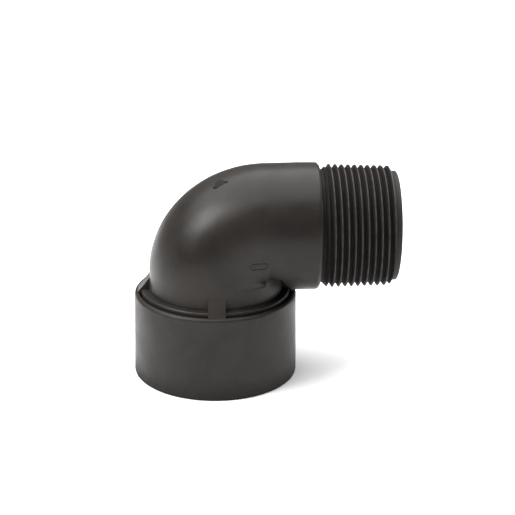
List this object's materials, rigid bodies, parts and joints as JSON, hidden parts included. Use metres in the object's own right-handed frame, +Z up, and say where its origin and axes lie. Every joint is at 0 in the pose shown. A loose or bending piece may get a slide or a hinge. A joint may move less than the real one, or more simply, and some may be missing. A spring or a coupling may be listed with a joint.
{
  "type": "pipe elbow",
  "caption": "Right-angle pipe elbow: a round hub with a female taper thread below, a male taper-threaded nipple to the side.",
  "frame": {"origin": "centre of the hub's bottom face, on the axis of the female thread", "axes": "+Z up the female thread's axis, +X out along the male nipple's axis"},
  "size_m": [0.0893, 0.0562, 0.0736],
  "materials": {
    "body_plastic": "satin moulded, warm black",
    "hub_plastic": "satin moulded, warm black",
    "nipple_plastic": "satin moulded, warm black",
    "seal_rubber": "smooth, slightly greased",
    "ring_steel": "drawn wire"
  },
  "bodies": {
    "root": {"elbow_body": "body_plastic", "threaded_hub": "hub_plastic", "male_nipple": "nipple_plastic", "hub_seal": "seal_rubber", "retaining_ring": "ring_steel"}
  },
  "joints": []
}
